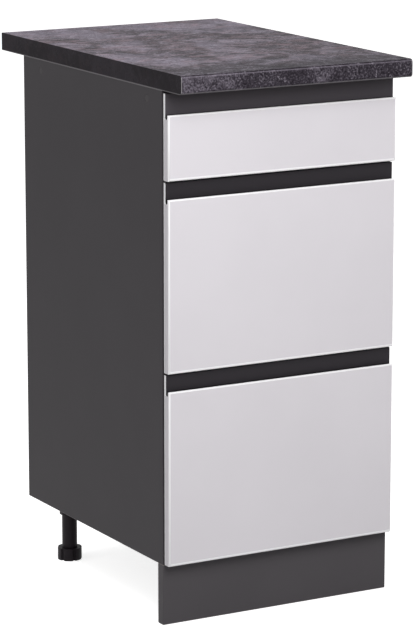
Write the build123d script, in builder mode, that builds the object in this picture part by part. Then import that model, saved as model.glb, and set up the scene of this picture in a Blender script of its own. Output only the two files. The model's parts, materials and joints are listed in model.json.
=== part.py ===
from build123d import *
from math import radians, sqrt, tan
import os

# A handleless base cabinet with three drawers on ball-bearing runners, under a postformed worktop.
# Millimetres. X runs to the right along the fronts, Y from the fronts to the wall, Z up from the floor.
# The origin lies on the floor, under the middle of the worktop.
os.makedirs("parts", exist_ok=True)

# ---- Overall sizes
cabinet_width = 400.0
overall_height = 850.0
carcass_depth = 460.0
carcass_base = 96.0  # floor to the underside of the carcass
board = 16.0  # melamine-faced chipboard of the carcass and plinth
board_edge_radius = 1.0

# ---- Screws, bolts, bores and pads too small or hidden to need a true round are drawn with flat sides
tiny_round_sides = 6
small_round_sides = 8
large_round_sides = 12

# ---- Worktop
worktop_depth = 600.0
worktop_thickness = 28.0
worktop_overhang = 60.0  # past the carcass front edge
worktop_nose_radius = 6.0
worktop_edge_band = 1.0

# ---- Back panel
back_sheet = 3.0
back_inset = 12.8  # behind the back panel, to the carcass back edge
back_groove_depth = 8.0
groove_play = 0.2

# ---- Top rails, their screws and the caps that cover them
rail_width = 92.0
rail_drop = 9.0  # top of a rail below the top edges of the sides
screw_head_diameter = 10.0
screw_head_height = 4.0
screw_shank_diameter = 7.0
screw_thread_diameter = 5.0
screw_length = 50.0
screw_socket_sides = 6
screw_socket_width = 4.0
screw_socket_depth = 2.5
screw_play = 0.1
cap_diameter = 12.0
cap_thickness = 1.0
cap_sides = 24
cap_stem_length = 2.0
cap_stem_diameter = 3.0

# ---- Cam fittings between the sides and the bottom panel
cam_diameter = 15.0
cam_height = 12.0
cam_reach = 34.0  # panel end to cam centre
cam_front_setback = 110.0
cam_rear_setback = 130.0
cam_play = 0.2
cam_driver_slot = (9.0, 1.6, 1.2)  # length, width, depth
bolt_diameter = 6.0
bolt_thread_depth = 10.0

# ---- Worktop angle brackets
bracket_leg = 25.0
bracket_width = 20.0
bracket_sheet = 2.0
bracket_bend = 4.0
bracket_front_gap = 48.0  # from the front rail to the middle of the bracket behind it
bracket_rear_gap = 52.2  # the same, in front of the rear rail

# ---- Plinth
plinth_floor_gap = 1.0
plinth_top_gap = 0.5

# ---- Feet
foot_side_inset = 40.0  # foot axis to the outer face of the side
foot_front_inset = 44.0  # front foot axis to the carcass front edge
foot_rear_inset = 67.0  # rear foot axis to the carcass back edge
socket_plate = 55.0
socket_plate_thickness = 4.0
socket_plate_corner = 6.0
socket_collar_diameter = 32.0
socket_collar_length = 16.0
socket_ribs = 4
socket_rib_reach = 9.0  # from the collar, along the plate
socket_rib_height = 10.0
socket_rib_thickness = 2.0
socket_rib_seat = 1.0  # how far a rib runs into the collar's wall
tube_diameter = 24.6
tube_wall = 1.9
tube_play = 0.05
base_diameter = 39.2
base_height = 20.0
base_lobes = 6
base_notch_depth = 2.8
base_notch_corners = 4  # each notch is cut by a square set on its corner
base_turn = 26.0  # degrees, of the first notch from the X axis
foot_gap = 0.3  # between the base and the end of the tube
spindle_play = 0.3
spindle_length = 55.0

# ---- Plinth clips, one round each front foot's tube
clip_wall = 2.4
clip_height = 18.0
clip_centre_height = 58.0
clip_play = 0.15
clip_mouth_angle = 100.0
clip_plate_width = 36.0
clip_plate_thickness = 3.0
clip_neck_width = 12.0

# ---- Fronts: lacquered board with a pull milled along the top edge
front_thickness = 16.0
front_side_gap = 1.5
front_gap = 3.0  # between two fronts
front_bottom_gap = 1.0  # above the underside of the carcass
front_top_gap = 4.0  # under the worktop
front_stand_off = 2.0  # bumper pads hold the fronts this far off the carcass
front_edge_radius = 3.0
front_back_radius = 1.0
top_front_height = 130.0
bottom_front_extra = 7.0  # by which the bottom front is taller than the middle one
pull_opening = 24.5  # visible lip above the face
top_pull_opening = 31.5
pull_wall = 4.0
pull_width = 6.0
pull_depth = 7.0
pull_floor_radius = 2.8
pull_wall_radius = 0.8
lip_radius = 1.0
pad_diameter = 8.0
pad_play = 0.2
pad_side_inset = 8.0
pad_end_inset = 14.0

# ---- Drawer boxes
box_wall = 12.0
box_lift = 22.0  # box above the front's lower edge
top_box_headroom = 32.0  # from the box's upper edge to the front's
deep_box_headroom = 67.0  # the same, in the middle drawer; the bottom box is as high
box_bottom_sheet = 6.0
box_bottom_lift = 10.0
box_groove_depth = 6.0
front_screw_diameter = 4.0
front_screw_head_diameter = 8.5
front_screw_head_height = 2.5
front_screw_bite = 10.0
front_screw_spread = 200.0
front_screw_inset = 24.0

# ---- Ball-bearing runners: sheet sections, measured from the side panel inwards and from mid height
runner_setback = 2.0  # behind the carcass front edge
runner_rear_gap = 42.2  # from the runner to the back panel
runner_lift = 38.0  # mid height of the runner above the box's lower edge
runner_width = 12.7
runner_height = 45.5
runner_sheet = 1.2
runner_bend_radius = 2.4
runner_end_inset = 2.0
runner_end_stop = 5.0  # length of travel that the end stops take
ball_diameter = 4.0
ball_play = 0.3
ball_column = 8.2  # ball centres from the side panel
track_lip = 1.05  # each track's lip past the ball centre
web_gap = 1.6  # between the webs of the cabinet and the middle member
flange_reach = 5.9  # free edge of the drawer member from the side panel
cage_sheet = 0.8
cage_length = 180.0
cage_bend_radius = 1.6
cage_web_play = 0.4
cage_reach = 9.9
runner_screw_diameter = 4.0
runner_screw_length = 13.0
runner_screw_inset = 35.0  # from either end of the cabinet member
runner_screw_cone = 45.0  # degrees, from the screw's axis to its countersunk face

# ---- Places worked out from the sizes
full_turn = 360.0  # degrees
half_width = cabinet_width / 2
inner_half = half_width - board
worktop_front = -worktop_depth / 2
carcass_front = worktop_front + worktop_overhang
carcass_back = carcass_front + carcass_depth
carcass_top = overall_height - worktop_thickness
carcass_height = carcass_top - carcass_base
back_panel_back = carcass_back - back_inset
back_panel_front = back_panel_back - back_sheet
rail_top = carcass_top - rail_drop
rail_height_centre = rail_top - board / 2
front_rail_centre = carcass_front + rail_width / 2
rear_rail_centre = back_panel_front - rail_width / 2
front_bracket = front_rail_centre + rail_width / 2 + bracket_front_gap
rear_bracket = rear_rail_centre - rail_width / 2 - bracket_rear_gap
front_back_face = carcass_front - front_stand_off
front_face = front_back_face - front_thickness
half_front = half_width - front_side_gap
box_half = inner_half - runner_width
box_inner_half = box_half - box_wall
member_front = carcass_front + runner_setback
runner_length = back_panel_front - runner_rear_gap - member_front
box_back = front_back_face + runner_length  # the box is as deep as its runners are long
bottom_front_bottom = carcass_base + front_bottom_gap
front_stack = carcass_top - front_top_gap - bottom_front_bottom
deep_fronts = front_stack - top_front_height - 2 * front_gap
middle_front_height = (deep_fronts - bottom_front_extra) / 2
bottom_front_height = middle_front_height + bottom_front_extra
middle_front_bottom = bottom_front_bottom + bottom_front_height + front_gap
top_front_bottom = middle_front_bottom + middle_front_height + front_gap
runner_screw_bite = runner_screw_length - runner_sheet  # into the side
runner_screw_lines = (
    member_front + runner_screw_inset,
    member_front + runner_length - runner_screw_inset,
)
runner_screw_places = [
    (y, bottom + box_lift + runner_lift)
    for bottom in (bottom_front_bottom, middle_front_bottom, top_front_bottom)
    for y in runner_screw_lines
]
top_box_height = top_front_height - box_lift - top_box_headroom
deep_box_height = middle_front_height - box_lift - deep_box_headroom


def save(piece, name):
    """Labels a finished piece and writes it."""
    piece.part.label = name
    export_step(piece.part, f"parts/{name}.step")


def both_sides(*places):
    """Each (x, y) place and its mirror image across the middle of the cabinet."""
    return [(side * x, y) for x, y in places for side in (-1, 1)]


def across(x, y, z):
    """A plane square to X at a place, facing right."""
    return Plane(origin=(x, y, z), x_dir=(0, 1, 0), z_dir=(1, 0, 0))


def folded(corners, bends):
    """The points of a folded sheet's outer line. Each bend is one facet that touches the bend's arc."""
    points = [Vector(*corner) for corner in corners]
    line = points[:1]
    for before, corner, after, bend in zip(points, points[1:], points[2:], bends):
        leg = bend * (2 - sqrt(2))
        line += [corner + (side - corner).normalized() * leg for side in (before, after)]
    return line + points[-1:]


# ---- Side panels: grooved for the back panel, stepped holes for the rail screws, drilled inside for
# the bolts and for the screws of the runners
rail_places = [(front_rail_centre, rail_height_centre), (rear_rail_centre, rail_height_centre)]
bolt_height = carcass_base + board / 2
cam_places = [carcass_front + cam_front_setback, carcass_back - cam_rear_setback]

with BuildPart() as side_left:
    with BuildSketch(Plane.XY.offset(carcass_base)) as outline:
        with Locations((-half_width, carcass_front)):
            Rectangle(board, carcass_depth, align=(Align.MIN, Align.MIN))
        with Locations((-inner_half, back_panel_front - groove_play / 2)):
            Rectangle(
                back_groove_depth,
                back_sheet + groove_play,
                align=(Align.MAX, Align.MIN),
                mode=Mode.SUBTRACT,
            )
    extrude(amount=carcass_height)
    front_corners = side_left.edges().filter_by(Axis.Z).group_by(Axis.Y)[0]
    fillet(front_corners, radius=board_edge_radius)
    with BuildSketch(Plane.YZ.offset(-half_width)):
        with Locations(*rail_places):
            RegularPolygon(cap_diameter / 2 + screw_play, cap_sides)
    extrude(amount=cap_thickness, mode=Mode.SUBTRACT)
    with BuildSketch(Plane.YZ.offset(-half_width + cap_thickness)):
        with Locations(*rail_places):
            RegularPolygon(screw_head_diameter / 2 + screw_play, small_round_sides)
    extrude(amount=screw_head_height, mode=Mode.SUBTRACT)
    with BuildSketch(Plane.YZ.offset(-half_width)):
        with Locations(*rail_places):
            RegularPolygon(screw_shank_diameter / 2 + screw_play, small_round_sides)
    extrude(amount=board, mode=Mode.SUBTRACT)
    with BuildSketch(Plane.YZ.offset(-inner_half)):
        with Locations(*[(y, bolt_height) for y in cam_places]):
            RegularPolygon(bolt_diameter / 2, small_round_sides)
    extrude(amount=-bolt_thread_depth, mode=Mode.SUBTRACT)
    with BuildSketch(Plane.YZ.offset(-inner_half)):
        with Locations(*runner_screw_places):
            RegularPolygon(
                runner_screw_diameter / 2 + screw_play, tiny_round_sides, major_radius=False
            )
    extrude(amount=-(runner_screw_bite + screw_play), mode=Mode.SUBTRACT)
save(side_left, "side_left")

with BuildPart() as side_right:
    mirror(side_left.part, about=Plane.YZ)
save(side_right, "side_right")

# ---- Bottom panel: grooved for the back panel, pocketed from below for the cams
with BuildPart() as bottom_panel:
    with BuildSketch(Plane.XY.offset(carcass_base)):
        with Locations((0, carcass_front)):
            Rectangle(2 * inner_half, carcass_depth, align=(Align.CENTER, Align.MIN))
    extrude(amount=board)
    front_edges = bottom_panel.edges().filter_by(Axis.X).group_by(Axis.Y)[0]
    fillet(front_edges, radius=board_edge_radius)
    with BuildSketch(Plane.XY.offset(carcass_base + board)):
        with Locations((0, back_panel_front - groove_play / 2)):
            Rectangle(2 * inner_half, back_sheet + groove_play, align=(Align.CENTER, Align.MIN))
    extrude(amount=-back_groove_depth, mode=Mode.SUBTRACT)
    with BuildSketch(Plane.XY.offset(carcass_base)):
        with Locations(*both_sides(*[(inner_half - cam_reach, y) for y in cam_places])):
            RegularPolygon(cam_diameter / 2, large_round_sides)
    extrude(amount=cam_height, mode=Mode.SUBTRACT)
    for side in (-1, 1):
        with BuildSketch(across(side * inner_half, 0, 0)):
            with Locations(*[(y, bolt_height) for y in cam_places]):
                RegularPolygon(bolt_diameter / 2 + screw_play, small_round_sides)
        extrude(amount=-side * cam_reach, mode=Mode.SUBTRACT)
save(bottom_panel, "bottom_panel")

# ---- Cams, each slotted from the side for the head of its bolt
with BuildPart() as cams:
    with BuildSketch(Plane.XY.offset(carcass_base)):
        with Locations(*both_sides(*[(inner_half - cam_reach, y) for y in cam_places])):
            RegularPolygon(cam_diameter / 2 - cam_play, large_round_sides)
    extrude(amount=cam_height - cam_play)
    for side in (-1, 1):
        with BuildSketch(Plane.XY.offset(bolt_height)):
            with Locations(*[(side * (inner_half - cam_reach), y) for y in cam_places]):
                Rectangle(
                    cam_diameter,
                    bolt_diameter + 2 * cam_play,
                    align=(Align.MIN if side > 0 else Align.MAX, Align.CENTER),
                )
        extrude(amount=bolt_diameter / 2 + cam_play, both=True, mode=Mode.SUBTRACT)
    slot_length, slot_width, slot_depth = cam_driver_slot
    with BuildSketch(Plane.XY.offset(carcass_base)):
        with Locations(*both_sides(*[(inner_half - cam_reach, y) for y in cam_places])):
            Rectangle(slot_length, slot_width)
    extrude(amount=slot_depth, mode=Mode.SUBTRACT)
save(cams, "cams")

with BuildPart() as cam_bolts:
    for side in (-1, 1):
        with BuildSketch(across(side * (inner_half + bolt_thread_depth), 0, 0)):
            with Locations(*[(y, bolt_height) for y in cam_places]):
                RegularPolygon(bolt_diameter / 2, small_round_sides)
        extrude(amount=-side * (bolt_thread_depth + cam_reach - cam_play))
save(cam_bolts, "cam_bolts")

# ---- Top rails, drilled in both ends for the screws
rail_bite = screw_length + cap_thickness - board
for name, centre in (("front_rail", front_rail_centre), ("rear_rail", rear_rail_centre)):
    with BuildPart() as rail:
        with BuildSketch(Plane.XY.offset(rail_top - board)):
            with Locations((0, centre)):
                Rectangle(2 * inner_half, rail_width)
        extrude(amount=board)
        for side in (-1, 1):
            with BuildSketch(across(side * inner_half, centre, rail_height_centre)):
                RegularPolygon(screw_thread_diameter / 2 + screw_play, small_round_sides)
            extrude(amount=-side * rail_bite, mode=Mode.SUBTRACT)
    save(rail, name)

# ---- Rail screws: flat head with a hexagon socket, plain shank in the side, thread in the rail
screw_steps = (
    (screw_head_diameter, 0, screw_head_height),
    (screw_shank_diameter, screw_head_height, board - cap_thickness),
    (screw_thread_diameter, board - cap_thickness, screw_length - screw_play),
)
with BuildPart() as rail_screws:
    for diameter, start, end in screw_steps:
        with BuildSketch(Plane.YZ.offset(-half_width + cap_thickness + start)):
            with Locations(*rail_places):
                RegularPolygon(diameter / 2, small_round_sides)
        extrude(amount=end - start)
    with BuildSketch(Plane.YZ.offset(-half_width + cap_thickness)):
        with Locations(*rail_places):
            RegularPolygon(screw_socket_width / 2, screw_socket_sides, major_radius=False)
    extrude(amount=screw_socket_depth, mode=Mode.SUBTRACT)
    mirror(about=Plane.YZ)
save(rail_screws, "rail_screws")

# ---- Cover caps, flush in the sides, each on a stem in its screw's socket
with BuildPart() as cover_caps:
    with BuildSketch(Plane.YZ.offset(-half_width)):
        with Locations(*rail_places):
            RegularPolygon(cap_diameter / 2, cap_sides)
    extrude(amount=cap_thickness)
    with BuildSketch(Plane.YZ.offset(-half_width + cap_thickness)):
        with Locations(*rail_places):
            RegularPolygon(cap_stem_diameter / 2, screw_socket_sides)
    extrude(amount=cap_stem_length)
    mirror(about=Plane.YZ)
save(cover_caps, "cover_caps")

# ---- Back panel, in the grooves of the sides and the bottom panel
with BuildPart() as back_panel:
    with BuildSketch(Plane.XZ.offset(-back_panel_back)):
        with Locations((0, carcass_base + board - back_groove_depth)):
            Rectangle(
                2 * (inner_half + back_groove_depth - groove_play),
                carcass_height - board + back_groove_depth,
                align=(Align.CENTER, Align.MIN),
            )
    extrude(amount=back_sheet)
save(back_panel, "back_panel")

# ---- Worktop: postformed front edge, square back edge, edge bands on both ends
with BuildSketch(Plane.YZ) as worktop_section:
    with Locations((0, overall_height)):
        Rectangle(worktop_depth, worktop_thickness, align=(Align.CENTER, Align.MAX))
    fillet(worktop_section.vertices().group_by(Axis.X)[0], radius=worktop_nose_radius)

with BuildPart() as worktop:
    with BuildSketch(Plane.YZ.offset(worktop_edge_band - half_width)):
        add(worktop_section.sketch_local)
    extrude(amount=cabinet_width - 2 * worktop_edge_band)
save(worktop, "worktop")

for side, name in ((-1, "worktop_edge_left"), (1, "worktop_edge_right")):
    with BuildPart() as edge_strip:
        with BuildSketch(Plane.YZ.offset(side * (half_width - worktop_edge_band))):
            add(worktop_section.sketch_local)
        extrude(amount=side * worktop_edge_band)
    save(edge_strip, name)

# ---- Angle brackets from the sides to the worktop
bracket_corners = (
    (-inner_half, carcass_top - bracket_leg),
    (-inner_half, carcass_top),
    (-inner_half + bracket_leg, carcass_top),
)
with BuildPart() as worktop_brackets:
    for y in (front_bracket, rear_bracket):
        with BuildSketch(Plane.XZ.offset(-y)):
            with BuildLine():
                Polyline(*folded(bracket_corners, [bracket_bend]))
                offset(amount=bracket_sheet, side=Side.RIGHT, kind=Kind.INTERSECTION)
            make_face()
        extrude(amount=bracket_width / 2, both=True)
    mirror(about=Plane.YZ)
save(worktop_brackets, "worktop_brackets")

# ---- Plinth board, flush with the carcass in front and at both ends
plinth_height = carcass_base - plinth_top_gap - plinth_floor_gap
with BuildPart() as plinth:
    with BuildSketch(Plane.XY.offset(plinth_floor_gap)):
        with Locations((0, carcass_front)):
            Rectangle(cabinet_width, board, align=(Align.CENTER, Align.MIN))
    extrude(amount=plinth_height)
    fillet(plinth.edges().filter_by(Axis.Z).group_by(Axis.Y)[0], radius=board_edge_radius)
save(plinth, "plinth")

# ---- Feet: socket under the carcass, tube plugged into it, lobed base screwed into the tube
foot_x = half_width - foot_side_inset
front_foot_y = carcass_front + foot_front_inset
rear_foot_y = carcass_back - foot_rear_inset
foot_places = both_sides((foot_x, front_foot_y), (foot_x, rear_foot_y))
plate_underside = carcass_base - socket_plate_thickness
tube_radius = tube_diameter / 2
tube_top = plate_underside - tube_play
tube_bottom = base_height + foot_gap
collar_radius = socket_collar_diameter / 2

with BuildSketch() as socket_plate_outline:
    Rectangle(socket_plate, socket_plate)
    chamfer(socket_plate_outline.vertices(), length=socket_plate_corner)

with BuildPart() as foot_sockets:
    with BuildSketch(Plane.XY.offset(carcass_base)):
        with Locations(*foot_places):
            add(socket_plate_outline.sketch_local)
    extrude(amount=-socket_plate_thickness)
    with BuildSketch(Plane.XY.offset(plate_underside)):
        with Locations(*foot_places):
            Circle(collar_radius)
            Circle(tube_radius + tube_play, mode=Mode.SUBTRACT)
    extrude(amount=-socket_collar_length)
    for x, y in foot_places:
        for rib in range(socket_ribs):
            rib_plane = Plane(origin=(x, y, plate_underside), x_dir=(1, 0, 0), z_dir=(0, -1, 0))
            with BuildSketch(rib_plane.rotated((0, 0, rib * full_turn / socket_ribs))):
                with BuildLine():
                    Polyline(
                        (collar_radius - socket_rib_seat, 0),
                        (collar_radius + socket_rib_reach, 0),
                        (collar_radius - socket_rib_seat, -socket_rib_height),
                        close=True,
                    )
                make_face()
            extrude(amount=socket_rib_thickness / 2, both=True)
save(foot_sockets, "foot_sockets")

with BuildPart() as foot_tubes:
    with BuildSketch(Plane.XY.offset(tube_bottom)):
        with Locations(*foot_places):
            Circle(tube_radius)
            RegularPolygon(tube_radius - tube_wall, large_round_sides, mode=Mode.SUBTRACT)
    extrude(amount=tube_top - tube_bottom)
save(foot_tubes, "foot_tubes")

foot_names = {
    "front_left_foot": (-foot_x, front_foot_y),
    "front_right_foot": (foot_x, front_foot_y),
    "rear_left_foot": (-foot_x, rear_foot_y),
    "rear_right_foot": (foot_x, rear_foot_y),
}
for name, (x, y) in foot_names.items():
    turn = base_turn if x < 0 else full_turn / 2 - base_turn
    with BuildPart() as foot:
        with BuildSketch(Plane(origin=(x, y, 0), x_dir=(1, 0, 0), z_dir=(0, 0, 1))):
            Circle(base_diameter / 2)
            with PolarLocations(base_diameter / 2, base_lobes, start_angle=turn):
                RegularPolygon(base_notch_depth, base_notch_corners, mode=Mode.SUBTRACT)
        extrude(amount=base_height)
        with BuildSketch(Plane(origin=(x, y, base_height), z_dir=(0, 0, 1))):
            RegularPolygon(tube_radius - tube_wall - spindle_play, large_round_sides)
        extrude(amount=spindle_length)
    save(foot, name)

# ---- Plinth clips: a sprung ring round the tube, a neck and a plate on the back of the plinth
plinth_back = carcass_front + board
ring_inner = tube_radius + clip_play
ring_outer = ring_inner + clip_wall
with BuildPart() as plinth_clips:
    with BuildSketch(Plane.XY.offset(clip_centre_height - clip_height / 2)):
        for side in (-1, 1):
            with Locations((side * foot_x, front_foot_y)):
                Circle(ring_outer)
            with Locations((side * foot_x, plinth_back)):
                Rectangle(
                    clip_neck_width,
                    front_foot_y - plinth_back,
                    align=(Align.CENTER, Align.MIN),
                )
                Rectangle(
                    clip_plate_width,
                    clip_plate_thickness,
                    align=(Align.CENTER, Align.MIN),
                )
            with Locations((side * foot_x, front_foot_y)):
                Circle(ring_inner, mode=Mode.SUBTRACT)
                with BuildLine(mode=Mode.PRIVATE) as mouth:
                    half_mouth = ring_outer * tan(radians(clip_mouth_angle / 2))
                    Polyline(
                        (0, 0),
                        (half_mouth, ring_outer),
                        (-half_mouth, ring_outer),
                        close=True,
                    )
                add(make_face(mouth.edges(), mode=Mode.PRIVATE), mode=Mode.SUBTRACT)
    extrude(amount=clip_height)
save(plinth_clips, "plinth_clips")


# ---- Runners: rolled sections whose lips and flanges are the ball tracks
def rolled_pair(outline, bends, sheet, front, length, height, screw_lines=()):
    """A left and a right rolled section. outline is its outer surface, from one free edge to the other,
    as (distance from the side panel, height from mid height), with the sheet on its left-hand side.
    At each of the screw_lines along Y, the web against the side panel has a countersunk hole."""
    with BuildPart() as pair:
        with BuildSketch(Plane.XZ.offset(-(front + length))):
            with BuildLine():
                Polyline(*[(u - inner_half, v + height) for u, v, _ in folded(outline, bends)])
                offset(amount=sheet, side=Side.LEFT, kind=Kind.INTERSECTION)
            make_face()
        extrude(amount=length)
        if screw_lines:
            with BuildSketch(Plane.YZ.offset(-inner_half + sheet)):
                with Locations(*[(y, height) for y in screw_lines]):
                    RegularPolygon(
                        runner_screw_diameter / 2 + sheet + screw_play,
                        tiny_round_sides,
                        major_radius=False,
                    )
            extrude(amount=-sheet, taper=runner_screw_cone, mode=Mode.SUBTRACT)
        mirror(about=Plane.YZ)
    return pair


track_radius = ball_diameter / 2 + ball_play
lip_radius_outside = track_radius + runner_sheet
lip_face = ball_column + lip_radius_outside
cabinet_half = runner_height / 2
outer_ball_height = cabinet_half - lip_radius_outside
middle_half = outer_ball_height - track_radius
inner_ball_height = middle_half - lip_radius_outside
drawer_half = inner_ball_height - track_radius
middle_web = runner_sheet + web_gap
outer_cage_web = runner_sheet + cage_web_play
inner_cage_web = middle_web + runner_sheet + cage_web_play
track_bends = (lip_radius_outside, runner_bend_radius, runner_bend_radius, lip_radius_outside)
drawer_travel = runner_length - runner_end_stop
middle_share = 0.5  # of the drawer's travel; a cage travels half way between the members beside it
outer_cage_share = middle_share / 2
inner_cage_share = (middle_share + 1) / 2

middle_front = member_front + runner_end_inset
drawer_member_front = front_back_face + runner_end_inset
moving_length = runner_length - 2 * runner_end_inset

# Each cage sits, with the drawer fully out, in the middle of the overlap of the two members it separates.
middle_back_out = middle_front + moving_length - middle_share * drawer_travel
outer_overlap_middle = (member_front + middle_back_out) / 2
outer_cage_front = outer_overlap_middle + outer_cage_share * drawer_travel - cage_length / 2
middle_front_out = middle_front - middle_share * drawer_travel
drawer_member_back_out = drawer_member_front + moving_length - drawer_travel
inner_overlap_middle = (middle_front_out + drawer_member_back_out) / 2
inner_cage_front = inner_overlap_middle + inner_cage_share * drawer_travel - cage_length / 2


def c_outline(web, half_height, reach, lip_end=None):
    """Outer surface of a C section that opens away from its web; with lips where lip_end is given."""
    lips = [] if lip_end is None else [lip_end]
    upper = [(reach, v) for v in lips] + [(reach, half_height), (web, half_height)]
    lower = [(u, -v) for u, v in reversed(upper)]
    return upper + lower


def runner(name, height):
    """The five layers of one drawer's pair of runners, from the side panel inwards."""
    cabinet = rolled_pair(
        c_outline(0, cabinet_half, lip_face, outer_ball_height - track_lip),
        track_bends,
        runner_sheet,
        member_front,
        runner_length,
        height,
        runner_screw_lines,
    )
    save(cabinet, f"{name}_runner_cabinet_members")
    middle = rolled_pair(
        c_outline(middle_web, middle_half, lip_face, inner_ball_height - track_lip),
        track_bends,
        runner_sheet,
        middle_front,
        moving_length,
        height,
    )
    save(middle, f"{name}_runner_middle_members")
    drawer_outline = [
        (flange_reach, -drawer_half),
        (runner_width, -drawer_half),
        (runner_width, drawer_half),
        (flange_reach, drawer_half),
    ]
    inner = rolled_pair(
        drawer_outline,
        [runner_bend_radius] * 2,
        runner_sheet,
        drawer_member_front,
        moving_length,
        height,
    )
    save(inner, f"{name}_runner_drawer_members")
    outer_cage = rolled_pair(
        c_outline(outer_cage_web, outer_ball_height + cage_sheet / 2, cage_reach),
        [cage_bend_radius] * 2,
        cage_sheet,
        outer_cage_front,
        cage_length,
        height,
    )
    save(outer_cage, f"{name}_outer_ball_cages")
    inner_cage = rolled_pair(
        c_outline(inner_cage_web, inner_ball_height + cage_sheet / 2, cage_reach),
        [cage_bend_radius] * 2,
        cage_sheet,
        inner_cage_front,
        cage_length,
        height,
    )
    save(inner_cage, f"{name}_inner_ball_cages")


# ---- Screws of the cabinet members, their heads flush in the sheet so that the cages pass over them
with BuildPart() as runner_screws:
    with BuildSketch(Plane.YZ.offset(-inner_half + runner_sheet)):
        with Locations(*runner_screw_places):
            RegularPolygon(
                runner_screw_diameter / 2 + runner_sheet, tiny_round_sides, major_radius=False
            )
    extrude(amount=-runner_sheet, taper=runner_screw_cone)
    with BuildSketch(Plane.YZ.offset(-inner_half)):
        with Locations(*runner_screw_places):
            RegularPolygon(runner_screw_diameter / 2, tiny_round_sides, major_radius=False)
    extrude(amount=-runner_screw_bite)
    mirror(about=Plane.YZ)
save(runner_screws, "runner_screws")


# ---- Fronts and drawer boxes
def drawer_front(name, bottom, height, opening, screw_heights):
    """A lacquered front: rounded face, and a pull milled along its top with a lip behind."""
    face_top = bottom + height - opening
    wall_back = front_face + pull_wall
    lip_face_y = wall_back + pull_width
    with BuildPart() as front:
        with BuildSketch(Plane.YZ.offset(-half_front)):
            with BuildLine():
                Polyline(
                    (front_back_face, bottom),
                    (front_face, bottom),
                    (front_face, face_top),
                    (lip_face_y, face_top),
                    (lip_face_y, bottom + height),
                    (front_back_face, bottom + height),
                    close=True,
                )
            make_face()
        extrude(amount=2 * half_front)
        fillet(front.faces().sort_by(Axis.Y)[0].edges(), radius=front_edge_radius)
        fillet(front.faces().sort_by(Axis.Y)[-1].edges(), radius=front_back_radius)
        lip_edge = front.edges().filter_by(Axis.X).filter_by_position(Axis.Y, lip_face_y, lip_face_y)
        fillet(lip_edge.sort_by(Axis.Z)[-1], radius=lip_radius)
        with BuildSketch(Plane.YZ.offset(-half_front)) as groove:
            with Locations((wall_back, face_top)):
                Rectangle(pull_width, 2 * pull_depth, align=(Align.MIN, Align.CENTER))
            fillet(groove.vertices().group_by(Axis.Y)[0], radius=pull_floor_radius)
        extrude(amount=2 * half_front, mode=Mode.SUBTRACT)
        wall_edge = front.edges().filter_by(Axis.X).filter_by_position(Axis.Y, wall_back, wall_back)
        fillet(wall_edge.sort_by(Axis.Z)[-1], radius=pull_wall_radius)
        with BuildSketch(Plane.XZ.offset(-front_back_face)):
            with Locations(*both_sides(*[(front_screw_spread / 2, z) for z in screw_heights])):
                RegularPolygon(front_screw_diameter / 2 + screw_play, small_round_sides)
        extrude(amount=front_screw_bite + screw_play, mode=Mode.SUBTRACT)
    save(front, f"{name}_front")


def front_screws(name, screw_heights):
    """Screws from inside the box through its front board into the drawer front."""
    head_face = front_back_face + box_wall
    screw_places = both_sides(*[(front_screw_spread / 2, z) for z in screw_heights])
    with BuildPart() as screws:
        with BuildSketch(Plane.XZ.offset(-head_face)):
            with Locations(*screw_places):
                RegularPolygon(front_screw_diameter / 2, small_round_sides)
        extrude(amount=box_wall + front_screw_bite)
        with BuildSketch(Plane.XZ.offset(-head_face)):
            with Locations(*screw_places):
                RegularPolygon(front_screw_head_diameter / 2, small_round_sides)
        extrude(amount=-front_screw_head_height)
    save(screws, f"{name}_front_screws")


def drawer_box(name, bottom, height, screw_heights):
    """Two sides, a front and a back board between them, and a bottom in grooves."""
    groove_low = bottom + box_bottom_lift
    groove_height = box_bottom_sheet + groove_play
    box_front_inner = front_back_face + box_wall
    box_back_inner = box_back - box_wall
    with BuildPart() as box_left:
        with BuildSketch(Plane.XZ.offset(-box_back)):
            with Locations((-box_half, bottom)):
                Rectangle(box_wall, height, align=(Align.MIN, Align.MIN))
            with Locations((-box_inner_half, groove_low)):
                Rectangle(
                    box_groove_depth,
                    groove_height,
                    align=(Align.MAX, Align.MIN),
                    mode=Mode.SUBTRACT,
                )
        extrude(amount=runner_length)
    save(box_left, f"{name}_box_left")
    with BuildPart() as box_right:
        mirror(box_left.part, about=Plane.YZ)
    save(box_right, f"{name}_box_right")
    ends = (("front", front_back_face, box_front_inner), ("back", box_back, box_back_inner))
    for end, outer, inner in ends:
        groove_floor = inner + box_groove_depth * (-1 if inner > outer else 1)
        with BuildPart() as end_board:
            with BuildSketch(Plane.YZ):
                with BuildLine():
                    Polyline(
                        (outer, bottom),
                        (outer, bottom + height),
                        (inner, bottom + height),
                        (inner, groove_low + groove_height),
                        (groove_floor, groove_low + groove_height),
                        (groove_floor, groove_low),
                        (inner, groove_low),
                        (inner, bottom),
                        close=True,
                    )
                make_face()
            extrude(amount=box_inner_half, both=True)
            if end == "front":
                with BuildSketch(Plane.XZ.offset(-inner)):
                    with Locations(*both_sides(*[(front_screw_spread / 2, z) for z in screw_heights])):
                        RegularPolygon(front_screw_diameter / 2 + screw_play, small_round_sides)
                extrude(amount=box_wall, mode=Mode.SUBTRACT)
        save(end_board, f"{name}_box_{end}")
    panel_reach = box_groove_depth - groove_play
    with BuildPart() as box_bottom:
        with BuildSketch(Plane.XY.offset(groove_low)):
            with Locations((0, box_front_inner - panel_reach)):
                Rectangle(
                    2 * (box_inner_half + panel_reach),
                    box_back_inner - box_front_inner + 2 * panel_reach,
                    align=(Align.CENTER, Align.MIN),
                )
        extrude(amount=box_bottom_sheet)
    save(box_bottom, f"{name}_box_bottom")


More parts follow.
